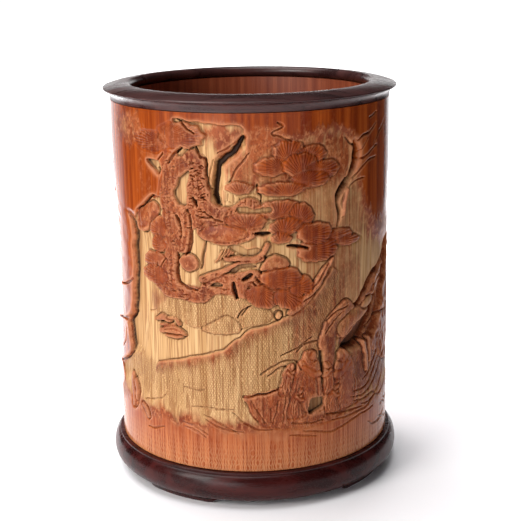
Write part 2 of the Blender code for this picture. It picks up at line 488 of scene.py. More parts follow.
def front_ground(pen):
    """The hollowed ground: clear-cut behind the pine, a shallow dish that fades out on the right."""
    pen.region(
        [(-2, 146), (6, 149), (16, 147), (26, 149), (38, 150), (44, 146), (46, 134), (53, 116),
         (64, 105), (80, 99), (84, 92), (70, 82), (50, 70), (20, 66), (4, 90), (-6, 120)],
        -1.2, BARE, wall=7.0,
    )
    pen.region(
        [(-53, 117), (-48, 121.5), (-42, 125.5), (-35, 126), (-30, 138), (-29, 150), (-31, 156),
         (-24, 155.3), (-12, 154.3), (-4, 154.2), (-2.4, 150), (-1.8, 144), (0, 138), (4, 130),
         (14, 126), (20, 116), (26, 104), (30, 92), (22, 76), (6, 68), (-14, 58), (-34, 52),
         (-55, 46), (-64, 46), (-62, 60), (-60, 67), (-55, 74), (-57, 86), (-57, 100), (-57, 111)],
        SKY_LEVEL, FLESH, wall=0.6,
    )
    pen.region(
        [(-62, 112), (-52, 112), (-46, 100), (-46, 84), (-50, 70), (-56, 58), (-66, 50), (-74, 60),
         (-70, 90)],
        -2.9, FLESH, wall=9.0,
    )
    for outline, tone, wall in (
        ([(-52, 124), (-50, 140), (-44, 146), (-38, 140), (-38, 126)], 0.92, 3.0),
        ([(-19, 154), (-4, 154), (-4, 146), (-10, 142), (-16, 146)], 0.5, 6.0),
        ([(-67, 152), (-58, 157), (-49, 154), (-47, 147), (-55, 144), (-64, 146)], 0.5, 6.0),
        ([(-8, 142), (-1, 143), (2, 136), (-2, 130), (-8, 133)], 0.45, 4.0),
        ([(22, 150), (34, 151), (42, 144), (40, 134), (30, 132), (20, 140)], 0.4, 6.0),
        ([(46, 120), (60, 112), (76, 110), (78, 101), (60, 104), (48, 110)], 0.5, 10.0),
        ([(0, 153), (12, 152), (16, 146), (9, 141), (0, 140)], 0.8, 3.0),
        ([(22, 136), (42, 134), (52, 112), (46, 92), (34, 84), (22, 96), (18, 118)], 0.3, 10.0),
        ([(-46, 86), (-30, 88), (-16, 86), (-18, 79), (-32, 77), (-46, 79)], 0.34, 5.0),
        ([(-2, 142), (20, 150), (40, 148), (42, 132), (20, 128), (0, 132)], 0.45, 6.0),
    ):
        pen.stain(outline, tone, wall)


def water(pen):
    """The near water, stippled and pale, which rises gently to the plain skin at the foot."""
    border = [(-60, 58), (-34, 56), (-8, 62), (14, 66), (34, 66), (52, 62), (66, 52), (80, 50),
              (84, 38), (60, 28), (20, 27), (-10, 27), (-45, 25), (-74, 24), (-84, 32), (-74, 48)]
    path = curve_through(pen.place(border), closed=True)
    patch = Patch(pen.relief, path, 5.0)
    inside = inside_distance(patch.s, patch.z, path)
    shore = 33.0 + 2.2 * patch.field("facets") + 2.5 * smooth(0.0, 40.0, np.abs(patch.s))
    rise = smooth(shore + 15.0, shore - 4.0, patch.z)
    target = -1.05 * (1.0 - rise) + 0.8 * (1.0 - rise) * punched(patch)
    tone = smooth(shore + 7.0, shore - 6.0, patch.z)
    patch.blend(target, smooth(-2.5, 2.5, inside), tone, 1.0 - rise)


def bank(pen):
    """The near shore: a crest with a red brow, and stippled ground falling away below it."""
    crest = [(-43, 56.6), (-33, 59.2), (-22, 62.6), (-12, 66), (-6, 70.5), (-2, 73.8), (4, 75.4),
             (10, 77.2), (16, 80), (22, 84), (28, 89), (33, 96)]
    path = curve_through(pen.place([(s, z, 0.5) for s, z in crest]))
    below = [(39, 92), (40, 80), (36, 70), (24, 58), (0, 52), (-24, 49), (-43, 50)]
    border = curve_through(pen.place(crest + below), closed=True)
    patch = Patch(pen.relief, border, 4.0)
    inside = inside_distance(patch.s, patch.z, border)
    gap = distance_to_path(patch.s, patch.z, path)[0]
    fall = 1.0 - np.exp(-gap / 3.4)
    target = -0.4 - 0.65 * fall + fall * punched(patch)
    streaky = 1.0 + 0.12 * patch.field("fibres")
    tone = 0.42 * streaky * np.exp(-((gap / 5.0) ** 2)) + 0.22 * smooth(10.0, 34.0, patch.s)
    sharp = smooth(-0.4, 0.4, inside)
    soft = smooth(0.0, 5.0, inside)
    share = sharp * smooth(7.0, 4.0, gap) + soft * smooth(4.0, 7.0, gap)
    patch.blend(target, share, tone, smooth(0.2, 0.6, fall))
    pen.groove([(s, z + 0.4, 0.35) for s, z in crest], 0.5)
    pen.stain([(16, 70), (30, 94), (44, 100), (52, 88), (46, 78), (34, 74), (26, 60)], 0.36, 8.0)
    pen.stain([(42, 58), (56, 60), (72, 64), (84, 58), (80, 42), (60, 38), (44, 42)], 0.52, 6.0)


def left_cliff(pen):
    """The cliff at the left edge, which steps back towards the water."""
    pen.region(
        [(-57, 111), (-57, 100), (-56.6, 92), (-58, 86), (-58.6, 79), (-61, 73), (-65, 69.5),
         (-63.4, 65), (-62.4, 57), (-67, 53), (-76, 48), (-72, 42), (-80, 36), (-96, 34),
         (-110, 40), (-114, 66), (-110, 96), (-98, 116), (-80, 122), (-64, 118)],
        0.0, SKIN, wall=0.6, texture=smooth_face,
    )
    pen.grooves(0.9, [
        [(-58, 88.6, 0.6), (-62, 86, 0.6), (-70, 84, 0.3)],
        [(-60, 74, 0.8), (-64, 70.5, 0.9), (-74, 68, 0.5), (-84, 66, 0.3)],
        [(-62, 56, 0.6), (-70, 51, 0.8), (-82, 46, 0.4)],
        [(-66, 66, 0.3), (-68, 60, 0.5), (-72, 56, 0.3)],
        [(-84, 112, 0.4), (-88, 98, 1.2), (-85, 84, 1.3), (-90, 70, 1.0), (-88, 56, 0.4)],
        [(-100, 108, 0.4), (-98, 94, 1.1), (-103, 80, 1.2), (-100, 64, 0.5)],
        [(-76, 100, 0.3), (-79, 90, 0.8), (-77, 80, 0.4)],
    ], lean=0.6)
    cracks(pen, (-110, 46), (-80, 112), 7, seed=23)
    pen.stain([(-112, 50), (-108, 76), (-98, 84), (-88, 70), (-78, 58), (-84, 44), (-98, 40)], 0.75,
              wall=10.0)
    for path in (
        [(-62.4, 45.6, 1.6), (-61.8, 42, 2.2), (-61.4, 38, 2.0), (-61.8, 33.6, 1.3)],
        [(-59.4, 44.4, 0.9), (-58.4, 40.6, 1.3), (-58.8, 36.4, 1.0)],
        [(-53.2, 35.8, 1.1), (-51, 33.8, 1.4), (-49.8, 31.8, 0.9)],
    ):
        pen.bough(path, level=-0.9, crown=1.1, edge=0.8, tone=0.7)
    pen.groove([(-57.8, 45.6, 0.4), (-56.4, 41, 0.8), (-57.2, 36, 0.7), (-60, 31.8, 0.4)], 1.8)
    pen.groove([(-50.8, 36.6, 0.3), (-49, 34.4, 0.6), (-48, 31.6, 0.4)], 1.2)


def pine_trunk(pen):
    """The old trunk: it rises from a ledge, is pierced by hollows, and carries the pads."""
    pen.region(
        [(-37, 140), (-33, 143), (-28, 141.5), (-24, 145), (-20, 143), (-17.6, 140.5), (-17.6, 134),
         (-16, 129), (-15, 124), (-8, 123), (-4, 126), (2, 126), (5, 120), (2, 112), (-8, 108),
         (-20, 110), (-22, 114), (-24, 113), (-25, 106), (-27, 103.5), (-30, 104), (-31, 98),
         (-30.5, 92), (-26, 90), (-21, 90), (-20, 94), (-13, 96), (-6, 97), (2, 98), (5, 92),
         (0, 86), (-8, 88.5), (-14, 88.5), (-18, 85.5), (-21, 84.2), (-28, 85), (-36, 85),
         (-42, 88), (-46, 92), (-40, 98), (-37, 104), (-41, 110), (-38, 118), (-39, 126),
         (-37, 132)],
        TRUNK_LEVEL, WORN, wall=0.8, crown=0.3, soft=2.0, edge=0.35, texture=bark,
    )
    pen.region([(-37, 91), (-30, 91), (-20, 90.5), (-8, 93), (2, 95), (5, 90), (0, 86.4),
                (-8, 88.4), (-16, 88), (-20, 84.6), (-30, 85.2), (-38, 87)],
               -0.5, 0.8, wall=2.5, crown=0.25, soft=2.0, texture=bark)
    for path in (
        [(-35.6, 137, 1.0), (-36, 128, 1.2), (-34.6, 118, 1.3), (-35, 106, 1.4), (-34.4, 94, 1.5)],
        [(-26, 141.6, 1.0), (-22.6, 136, 1.1), (-21, 128, 1.1), (-18.6, 122, 1.0)],
        [(-24.4, 127, 0.9), (-27.6, 119, 1.0), (-27.4, 111, 0.9), (-28.6, 106, 0.8)],
        [(-33, 123.4, 0.8), (-32.6, 114, 0.9), (-32.4, 104, 0.9), (-32.6, 94, 0.8)],
    ):
        pen.bough(path, level=-0.5, crown=0.35, edge=0.12, tone=0.7)


def trunk_hollows(pen):
    """Windows through the trunk, down to the ground or into the dark."""
    for outline, level in (
        ([(-24.5, 136.2), (-28, 134.5), (-30.3, 131), (-31.6, 127.5), (-30.6, 124), (-28.2, 122.8),
          (-26, 123.4), (-25.8, 130)], -2.0),
        ([(-45, 139.2), (-38.5, 139), (-38.2, 134), (-41.5, 136)], -2.0),
        ([(-29.8, 143.8), (-27, 145), (-26.2, 143.4), (-29, 141.8)], -1.8),
        ([(-9.8, 107.6), (-6, 104.8), (-3.5, 103.6), (1, 103.7), (4.4, 105.8), (2, 106.8),
          (-2, 106.6), (-6, 108.4)], -2.2),
        ([(-9, 97.4), (-7.5, 99.2), (-3.5, 100.4), (1.5, 100), (0, 98.8), (-4, 98.4),
          (-6.5, 96.8)], -2.4),
        ([(-16.8, 92), (-14.5, 92.9), (-11.8, 92.6), (-12.2, 91.4), (-15, 91.2)], -2.3),
        ([(-5.6, 122.8), (-4.5, 120.6), (2, 120.6), (7, 120.8), (7, 123), (1, 122.2),
          (-2, 123.2)], -1.7),
    ):
        pen.hole(outline, level)
    pen.grooves(2.6, [
        [(-23.2, 125.8, 0.6), (-22.4, 124.3, 0.8), (-21.8, 122.8, 0.4)],
        [(-30.6, 118.3, 0.8), (-29.9, 116.5, 0.9), (-29, 114.5, 0.5)],
        [(-7.8, 93.2, 0.6), (-7.2, 90.5, 0.9), (-6.4, 87, 0.6)],
        [(-3.4, 94.3, 0.8), (-2, 95.2, 1.1), (-0.6, 96.4, 0.6)],
        [(1.6, 112.9, 0.4), (4.5, 112.3, 1.0), (7.2, 112.7, 0.5)],
        [(14.2, 107.2, 0.5), (18, 106.7, 0.8), (22.6, 105.6, 0.5)],
        [(-40, 136.4, 0.4), (-39, 134.6, 0.7)],
    ])
    pen.grooves(1.2, [
        [(-27.6, 145, 0.4), (-30.6, 142.6, 0.6), (-33.6, 138.5, 0.6)],
        [(-36, 142.6, 0.3), (-38.6, 140, 0.4)],
        [(-26, 121, 0.6), (-24.3, 118, 0.5), (-24.4, 112, 0.6), (-25.3, 106, 0.7), (-26.8, 103.4, 0.5)],
        [(-29.2, 114.5, 0.4), (-28.4, 112, 0.4), (-28.6, 109.6, 0.3)],
        [(-18.4, 108.5, 0.6), (-19.4, 104, 0.7), (-20.6, 98.5, 0.5)],
        [(-30.6, 104, 0.4), (-31, 98, 0.5), (-30.8, 93, 0.7), (-28, 90.4, 0.6), (-24.6, 89.4, 0.5),
         (-22, 89.2, 0.3)],
        [(-22, 145.2, 0.4), (-20, 142.2, 0.5), (-17.4, 140.4, 0.5), (-17.4, 134, 0.5),
         (-16, 129.4, 0.6)],
        [(-29.4, 156, 0.3), (-25, 153, 0.5), (-21.6, 150.6, 0.3)],
    ])
    pen.grooves(0.8, [
        [(-41, 98.2, 0.4), (-42, 96.8, 0.4)],
        [(-36.8, 100.6, 0.3), (-39.6, 97, 0.3)],
        [(-21.6, 119.4, 0.3), (-19, 118.6, 0.5), (-15.6, 119, 0.3)],
        [(-18.5, 121, 0.3), (-15, 118.6, 0.4), (-11, 117.4, 0.4)],
        [(-42, 125.4, 0.3), (-48, 121.4, 0.4), (-52.4, 118.4, 0.3)],
    ])


def deep_gashes(pen):
    """Two dark clefts, each with a steep left wall and a slope on its right."""
    for depth, path in (
        (1.7, [(-2.4, 149.8, 0.9), (-4.5, 145.8, 1.9), (-8.5, 142.6, 2.4), (-12, 139.6, 2.3),
               (-12.4, 134, 2.3), (-13.4, 128, 2.1), (-12.4, 124, 1.4)]),
        (2.4, [(-3, 149.4, 0.6), (-5.4, 145.2, 1.2), (-9.2, 142.2, 1.4), (-12.6, 139.4, 1.4),
               (-13.6, 134, 1.4), (-14.4, 128, 1.4), (-13.4, 124.4, 1.1)]),
        (1.8, [(45.6, 145, 1.1), (46.6, 141, 2.2), (45.8, 136.5, 2.0), (44, 132, 1.3),
               (40, 128.6, 1.8), (37.6, 125.6, 1.8), (36.6, 122.4, 0.9)]),
        (3.8, [(45.4, 145, 1.0), (46.6, 141, 1.9), (45.6, 136.5, 1.7), (43.4, 132, 1.1),
               (39.8, 128.6, 1.7), (37.4, 125.6, 1.6), (36.6, 122.2, 1.0), (37.4, 117, 1.0),
               (36.6, 112.8, 0.6)]),
        (1.0, [(45, 144, 0.6), (50, 146.4, 0.5), (55, 147.4, 0.5), (60, 150.6, 0.3)]),
        (0.9, [(40.5, 147.2, 0.3), (43, 144.6, 0.5), (45, 143.4, 0.5)]),
    ):
        pen.groove(path, depth)
    pen.bough([(41.6, 126.4, 0.6), (40, 121, 0.8), (39.2, 116.6, 0.6)], level=-0.5, crown=0.5,
              edge=0.2, texture=smooth_face, tone=0.5)
    pen.grooves(0.7, [
        [(47, 138, 0.4), (52, 138.2, 0.5), (57, 140.4, 0.4), (61, 141.4, 0.3)],
        [(48.6, 140.6, 0.3), (51, 143, 0.4), (53.4, 145.4, 0.3)],
        [(45, 130.6, 0.4), (49, 134, 0.5), (54, 136.4, 0.4), (60, 137, 0.3)],
        [(43, 127.6, 0.3), (47.6, 129.6, 0.4), (51, 130, 0.3)],
        [(42.6, 136, 0.3), (41, 133, 0.4), (40.4, 130.6, 0.3)],
        [(58, 142, 0.3), (64, 147, 0.5), (70, 151, 0.3)],
        [(54, 153.2, 0.3), (60, 154.4, 0.3)],
        [(-0.6, 143.4, 0.3), (-4.5, 138.5, 0.5), (-8.4, 132.6, 0.4)],
        [(-5, 147.8, 0.3), (-9, 145.2, 0.4), (-12.6, 143.6, 0.3)],
        [(-14.4, 141, 0.3), (-16.2, 135.5, 0.4), (-15.8, 131, 0.3)],
        [(10.4, 155, 0.3), (12.4, 153.6, 0.4), (8.4, 151.4, 0.4), (10.4, 149.6, 0.4),
         (16, 147.8, 0.3)],
    ])


def pine_pads(pen):
    """The cushions of needles, back ones first: middle, half sizes, root, level and lobes."""
    for centre, half, root, level, lobes in (
        ((-42, 146.4), (9.5, 3.8), (-32, 146), -0.4, 9),
        ((-27.5, 149.8), (9.6, 5.0), (-37, 148), -0.35, 9),
        ((-40.5, 113), (4.6, 4.6), (-37, 111), -0.65, 7),
        ((-40.2, 106), (3.8, 3.4), (-36.5, 105), -0.65, 7),
        ((-43, 99.2), (6.4, 3.6), (-37, 98), -0.65, 9),
        ((-43.5, 93.2), (7.2, 3.8), (-36, 92), -0.7, 9),
        ((15, 143.6), (6.2, 4.4), (14, 139.5), -0.45, 9),
        ((25, 142), (6.0, 3.6), (22, 139), -0.7, 7),
        ((8, 138), (6.4, 3.6), (13, 137), -0.6, 9),
        ((20, 138), (7.4, 4.8), (20, 133.5), -0.4, 9),
        ((30, 136), (7.0, 3.4), (24, 134), -0.65, 7),
        ((-4.5, 130.4), (5.4, 2.3), (-4, 127), -0.6, 7),
        ((24, 132.4), (8.0, 3.0), (20, 131), -0.6, 7),
        ((12, 129.4), (9.4, 2.6), (14, 126), -0.5, 11),
        ((11, 121.6), (9.0, 3.8), (10, 118), -0.5, 11),
        ((20, 118.4), (5.2, 5.2), (17, 114), -0.6, 9),
        ((13.5, 114.8), (7.0, 3.4), (12, 112), -0.5, 9),
        ((-1.6, 117.6), (7.4, 3.0), (-2, 114.5), -0.4, 7),
        ((36, 108.4), (8.6, 3.2), (27, 108), -0.65, 9),
        ((43, 106), (6.2, 1.8), (36, 106.4), -0.8, 7),
        ((27, 104.4), (9.0, 4.8), (20, 105), -0.5, 11),
        ((25.6, 111.6), (7.8, 4.0), (18, 111), -0.35, 9),
        ((11.5, 110.4), (4.4, 2.2), (11, 108), -0.5, 7),
        ((5, 87.6), (7.4, 4.8), (2, 91), -0.5, 9),
        ((14.5, 86.8), (5.8, 4.8), (11, 90), -0.55, 9),
        ((19.6, 91), (5.0, 4.2), (16, 90), -0.5, 7),
        ((11.4, 95), (8.0, 4.6), (4, 94), -0.35, 9),
    ):
        tone = 0.8 + 0.17 * smooth(-14.0, 18.0, centre[0])
        pen.pad(centre, half, root, level, lobes, tone)
    pen.region([(-20, 110), (-19, 114), (-13, 115.8), (-5, 115.2), (-1.5, 112.5), (-6, 110),
                (-13, 109.4)], -0.5, 0.75, crown=0.5, soft=2.0, edge=0.4, texture=smooth_face)
    pen.region([(-30.2, 100), (-28.5, 103), (-24.5, 103.4), (-21.6, 100.6), (-23, 97.6),
                (-27, 96.8)], -0.7, 0.6, crown=0.65, soft=1.6, edge=0.6, texture=smooth_face)
    pen.region([(-53, 111), (-53, 117), (-48, 120.6), (-42.5, 122.6), (-39.8, 120), (-42, 116.8),
                (-44.8, 114.6), (-46, 111), (-50, 109.6)],
               -0.7, WORN, crown=0.5, soft=2.0, edge=0.8, texture=rocky)
    pen.region([(3, 98), (5.5, 102.4), (9, 104.2), (13, 102.6), (14.6, 99.6), (9, 99)],
               -0.6, 0.5, crown=0.4, soft=1.4, edge=0.6, texture=fibrous)


def boughs(pen):
    """Branches between the pads, twigs, and the small marks on the bark."""
    pen.bough([(15, 80.4, 1.0), (21, 84.8, 1.7), (26, 90.6, 1.6), (30, 95.4, 1.3), (34, 100, 0.6)],
              level=-0.5, tone=0.6)
    pen.bough([(-20.5, 94, 1.4), (-14, 96.4, 1.3), (-8, 99.4, 1.2), (-2, 101.6, 1.2), (4, 102.6, 1.0)])
    pen.bough([(-10.4, 102.6, 0.8), (-6, 103, 1.0), (1, 102.8, 1.0), (4.6, 104.8, 1.0), (6, 108, 0.9)])
    pen.groove([(20.4, 84.4, 0.3), (25, 87.2, 0.4), (29, 91, 0.4), (33.4, 96, 0.3)], 0.7)
    pen.groove([(24, 89, 0.3), (28.6, 94, 0.4), (32, 98.6, 0.3)], 0.6)
    pen.hole([(8, 79.4), (8.6, 81.4), (10.4, 81.8), (12.4, 80.8), (12, 78.2), (9.6, 77)], -2.4)
    pen.region([(8.9, 79.6), (10.4, 81), (11.8, 79.8), (11, 78), (9.4, 78)],
               -1.0, FLESH, wall=0.5, crown=0.4, texture=smooth_face)
    pen.grooves(1.0, [
        [(-6.2, 79, 0.35), (-4, 82, 0.45), (-1, 83.6, 0.3)],
        [(-4.4, 80, 0.3), (-2.2, 83.2, 0.35)],
        [(0.4, 93.4, 0.4), (4.6, 89, 0.5), (9.6, 86, 0.4)],
        [(1, 95.6, 0.4), (4, 93, 0.5), (6.4, 92.4, 0.3)],
        [(3.4, 97.6, 0.3), (6, 94, 0.4), (9, 91.6, 0.4)],
        [(2.4, 131.4, 0.4), (2.6, 129, 0.5), (4, 127, 0.4), (3.6, 125, 0.3)],
    ])
    pen.specks((-24.4, 121), (-18.4, 140), 60, seed=44, depth=0.5)
    pen.ticks((-33, 137), (-26, 139.5), 6, length=0.8, depth=0.35, turned=20)
    pen.ticks((-13, 119.6), (-4, 122.4), 6, length=0.9, depth=0.4, turned=60)
    pen.specks((-38, 86), (-18, 140), 190, seed=41)
    pen.specks((-30, 100), (6, 128), 130, seed=42)
    pen.specks((-36, 85), (6, 97), 110, seed=43)
    for reach in range(5):
        start = (-14.4 + 1.6 * reach, 101.2 + 0.9 * reach, 0.3)
        pen.bough([start, (start[0] + 1.7, start[1] + 2.4, 0.4), (start[0] + 2.6, start[1] + 4.4, 0.25)],
                  level=-0.8, crown=0.4, edge=0.25, texture=smooth_face, tone=0.45)
    pen.ticks((-17, 127), (-8, 125), 6, length=0.8, depth=0.4, turned=-50)
    pen.ticks((-9, 126.6), (0, 124.6), 5, length=2.2, depth=0.4, turned=90)


def far_shore(pen):
    """Stones and a low hill on the far side of the water."""
    pen.region([(-28.4, 75), (-25, 79), (-20, 83.2), (-16.6, 87), (-13, 89), (-4, 88), (4, 84),
                (8, 80), (4, 76.8), (-4, 75), (-12, 74)],
               -1.05, FLESH, wall=1.0, edge=0.4, texture=punched)
    pen.region([(-20.5, 74), (-15.6, 77.2), (-11, 79.6), (-7, 78), (-5, 75), (-7, 72.6),
                (-13, 72), (-18, 72.6)],
               -0.95, FLESH, wall=0.8, crown=0.25, edge=0.5, texture=punched)
    for path in (
        [(-43, 74.6, 0.7), (-39.6, 76, 1.3), (-36, 75.4, 1.2)],
        [(-36.4, 76.6, 0.6), (-33, 76.6, 1.0), (-31, 74.8, 0.8)],
        [(-40.6, 73, 0.6), (-37, 73, 1.0), (-34, 73.4, 0.9)],
        [(-40.6, 70.6, 1.2), (-36, 71.4, 1.9), (-31.6, 71.2, 1.8), (-29.2, 70.6, 1.0)],
        [(-37.6, 69, 0.7), (-33, 68.8, 0.9), (-30, 69.2, 0.6)],
    ):
        pen.bough(path, level=-1.1, crown=1.0, edge=0.7, tone=0.5)
    pen.region([(-36, 84.6), (-28, 86), (-20, 84.6), (-24, 78), (-34, 77), (-42, 79)],
               -1.25, FLESH, wall=3.0, texture=punched)
    pen.grooves(0.45, [
        [(-38, 71.6, 0.3), (-34, 72.4, 0.4), (-30.4, 71.4, 0.3)],
        [(-49, 77, 0.2), (-46, 77.6, 0.4), (-43.6, 78.6, 0.3)],
        [(-41.6, 73.8, 0.2), (-38.6, 74.4, 0.3), (-36, 73.8, 0.2)],
    ])


def right_rocks(pen):
    """Rocks and clefts under the right-hand cliff."""
    pen.region([(46, 77), (52, 80.5), (57, 86), (62, 89.6), (68, 91), (76, 97), (84, 112),
                (96, 122), (112, 118), (116, 90), (112, 60), (98, 46), (80, 46), (66, 52),
                (52, 62), (40, 66), (34, 70)],
               -0.3, WORN, wall=1.0, crown=0.2, soft=3.0, edge=0.4, texture=rocky)
    pen.groove([(43, 77.6, 0.7), (49, 79.2, 1.3), (55, 84.6, 1.7), (60, 88.6, 1.5), (66, 90.6, 1.1),
                (73, 95.6, 0.6)], 2.4, lean=0.4)
    # The cleft's floor keeps worn red wood, darker than bare flesh: painted shade.
    pen.region([(38, 63.6), (39.6, 68.4), (43, 70.6), (50, 74.6), (57, 78), (64, 82), (70, 88),
                (77, 101), (82, 104), (79, 92), (73, 80), (67, 71), (62, 64.6), (56, 61.6), (50, 60.4),
                (43, 60.8)], -2.8, 0.62, wall=3.2, texture=bark)
    pen.groove([(41, 62.4, 1.6), (48, 64.4, 3.0), (55, 68.4, 3.4), (62, 75.6, 3.2), (69, 85, 2.6),
                (77, 98, 1.6)], 3.4)
    pen.region([(29, 72), (31, 75.6), (35, 79), (40.6, 82), (44.4, 80.2), (46, 77), (40, 75),
                (36, 71.6), (35, 62), (33, 52), (28.6, 52), (28, 62), (27, 66)],
               -0.6, 0.5, crown=0.5, soft=1.6, edge=0.6, texture=bark)
    pen.region([(36, 71), (40.6, 74.6), (46, 77), (53, 77.4), (56, 75.6), (52, 72.6), (44, 69.4),
                (39, 66.6)], -0.8, 0.4, crown=0.6, soft=1.4, edge=0.5, texture=bark)
    pen.region([(50.6, 77), (54, 79.6), (58, 80.4), (58.6, 77.6), (55, 76)],
               -0.7, 0.3, crown=0.5, soft=1.2, edge=0.7, texture=smooth_face)
    pen.grooves(0.9, [
        [(31, 75, 0.3), (35, 78, 0.4), (41.6, 79.6, 0.3)],
        [(30, 70, 0.3), (33, 73.6, 0.4), (38, 77.4, 0.3)],
        [(60, 84, 0.4), (66, 86.4, 0.5), (72, 86, 0.4)],
        [(58, 66, 0.4), (66, 70, 0.5), (76, 70, 0.4)],
    ])


def figure(pen, s, z, height, turned, stoop):
    """A small hooded figure, side on, with a plain face. turned is 1 or -1: the way it faces."""

    def at(points):
        """Places (along, up) or (along, up, half-width), in parts of the figure's height."""
        return [(s + turned * height * (along + stoop * up * up), z + height * up,
                 *(height * width for width in widths)) for along, up, *widths in points]

    robe = [(0.03, 0.99), (0.11, 0.92), (0.13, 0.83), (0.19, 0.72), (0.20, 0.5), (0.25, 0.24),
            (0.30, 0.02), (0.05, -0.02), (-0.28, 0.01), (-0.30, 0.25), (-0.26, 0.5), (-0.23, 0.7),
            (-0.15, 0.85), (-0.09, 0.96)]
    pen.region(at(robe), -0.5, 0.8, wall=0.6, crown=1.1, soft=2.2, edge=0.4, texture=bark)
    for fold in (
        [(-0.12, 0.62, 0.012), (-0.15, 0.4, 0.022), (-0.13, 0.14, 0.012)],
        [(-0.04, 0.5, 0.012), (-0.05, 0.3, 0.022), (-0.02, 0.04, 0.014)],
        [(0.05, 0.44, 0.012), (0.06, 0.25, 0.02), (0.12, 0.04, 0.012)],
        [(-0.19, 0.56, 0.012), (-0.22, 0.3, 0.02), (-0.19, 0.04, 0.012)],
        [(0.12, 0.5, 0.012), (0.14, 0.3, 0.02), (0.21, 0.06, 0.012)],
        [(-0.12, 0.84, 0.012), (-0.02, 0.76, 0.02), (0.12, 0.80, 0.012)],
    ):
        pen.groove(at(fold), 0.4)
    pen.bough(at([(-0.08, 0.72, 0.05), (0.06, 0.6, 0.06), (0.19, 0.58, 0.05)]), level=-0.45,
              crown=0.5, edge=0.25, texture=smooth_face, tone=0.85)
    pen.bough(at([(0.04, 0.87, 0.06), (0.06, 0.91, 0.055)]), level=-0.5, crown=0.4, edge=0.3,
              texture=smooth_face, tone=0.75)


def boat(pen):
    """A river boat with a mat awning and hooded passengers, and two thin stems of rock beyond it."""
    pen.region([(-4.2, 46.8), (2, 48), (10, 49.8), (18, 49), (26, 47), (33, 48), (44, 46), (46, 38),
                (34, 33), (20, 32), (8, 33), (2.4, 35), (-0.6, 38), (-2.6, 42.6)],
               -0.4, 0.78, wall=0.8, crown=0.3, soft=2.0, edge=0.1, texture=bark)
    pen.groove([(-4.6, 46.2, 0.3), (2, 47.4, 0.4), (10, 49, 0.3)], 0.7)
    for top_s, top_z, low_s, low_z in (
        (-4, 44.6, 1.4, 35.6), (-1.4, 45, 4.4, 35.4), (9.6, 45, 7.4, 35), (12.6, 46, 11.4, 35.4),
        (6.4, 42, 6.8, 35.6), (15, 46, 15.4, 37), (30, 43, 29, 35), (35.4, 44, 34, 36),
    ):
        pen.groove([(top_s, top_z, 0.3), (low_s, low_z, 0.35)], 0.45)
    for s, z, height, turned, stoop in (
        (32.0, 45.0, 13.0, -1.0, 0.1), (14.0, 47.0, 12.5, 1.0, 0.1), (40.2, 37.0, 25.5, -1.0, 0.06),
        (22.4, 39.0, 25.5, 1.0, 0.04), (17.0, 37.0, 12.0, 1.0, 0.2), (33.4, 36.0, 12.0, 1.0, 0.25),
    ):
        figure(pen, s, z, height, turned, stoop)
    pen.hole([(22.4, 37.6), (22.8, 42), (24, 44), (29, 43.6), (29.6, 40), (26, 38.6)], -2.6)
    pen.hole([(27.4, 61.6), (28.6, 63), (29.6, 56), (28.6, 52), (27.6, 56)], -3.0)
    pen.grooves(0.8, [
        [(3, 55.5, 0.4), (5.6, 57.9, 0.5), (9.6, 59.6, 0.5), (14, 60.8, 0.5), (17.6, 59.8, 0.5),
         (19, 56.8, 0.4)],
        [(5.6, 55, 0.3), (9.4, 57.6, 0.5), (13, 58.2, 0.5)],
        [(-4.4, 46.8, 0.4), (4, 47.8, 0.5), (11, 49.8, 0.4)],
        [(17.6, 64, 0.4), (22, 67, 0.5), (26.6, 67.6, 0.4)],
        [(11, 63, 0.3), (18, 65.6, 0.4), (24, 69.4, 0.3)],
    ])
    pen.bough([(51.6, 62, 0.8), (53, 58, 1.0), (54.2, 53, 0.8), (54.6, 49, 0.5)], level=-0.5,
              crown=0.7, edge=0.6, texture=smooth_face, tone=0.8)
    pen.bough([(55.8, 62.4, 0.7), (57, 58, 0.9), (57, 52, 0.6)], level=-0.6, crown=0.5, edge=0.5,
              texture=smooth_face, tone=0.5)


# Water lines near the foot, each as places (s, z).
WAVE_LINES = (
    [(-9, 40), (-5, 37), (-2, 34.4), (1.4, 32.8), (7, 32.6)],
    [(-21, 38), (-13, 35), (-6, 31)],
    [(-30, 34), (-25, 33), (-19, 29.6)],
    [(-29, 32), (-24, 31), (-20, 28.4)],
    [(-50, 27), (-44, 28), (-40, 29.6)],
    [(-52, 38.6), (-46, 40), (-41, 41.6), (-39, 44)],
    [(-26, 41), (-21, 41.4), (-14, 41), (-8, 41.2)],
    [(-20, 36), (-12, 33), (-4, 31.6)],
    [(-30, 48.6), (-24, 48), (-20.4, 48.6)],
    [(15, 34.6), (20, 34), (29, 33.6)],
    [(20, 31), (26, 29.4), (34, 28.4), (41, 29.6), (49, 31), (60, 31.6)],
    [(43, 40.6), (50, 39.2), (56, 40), (61, 42.4), (67, 46), (76, 53)],
    [(45, 38), (52, 37.4), (60, 37.6), (66, 35), (76, 38)],
    [(14, 29.6), (20, 29), (26, 27.6)],
    [(55, 26), (60, 23.4), (70, 23), (80, 20)],
    [(30, 36), (40, 35), (52, 34)],
    [(44, 42.6), (53, 42), (60, 45.6), (66, 51), (73, 59)],
    [(52, 45.4), (58, 48), (64, 54), (70, 62)],
    [(50, 35.4), (60, 35.4), (70, 41), (80, 49)],
    [(33, 33), (44, 32.6), (56, 34), (66, 38.6)],
)


def waves(pen):
    """Thin engraved water lines near the foot."""
    for line in WAVE_LINES:
        last = len(line) - 1
        path = [(s, z, 0.25 + 0.35 * math.sin(math.pi * i / last)) for i, (s, z) in enumerate(line)]
        pen.groove(path, 0.5, lean=0.4)


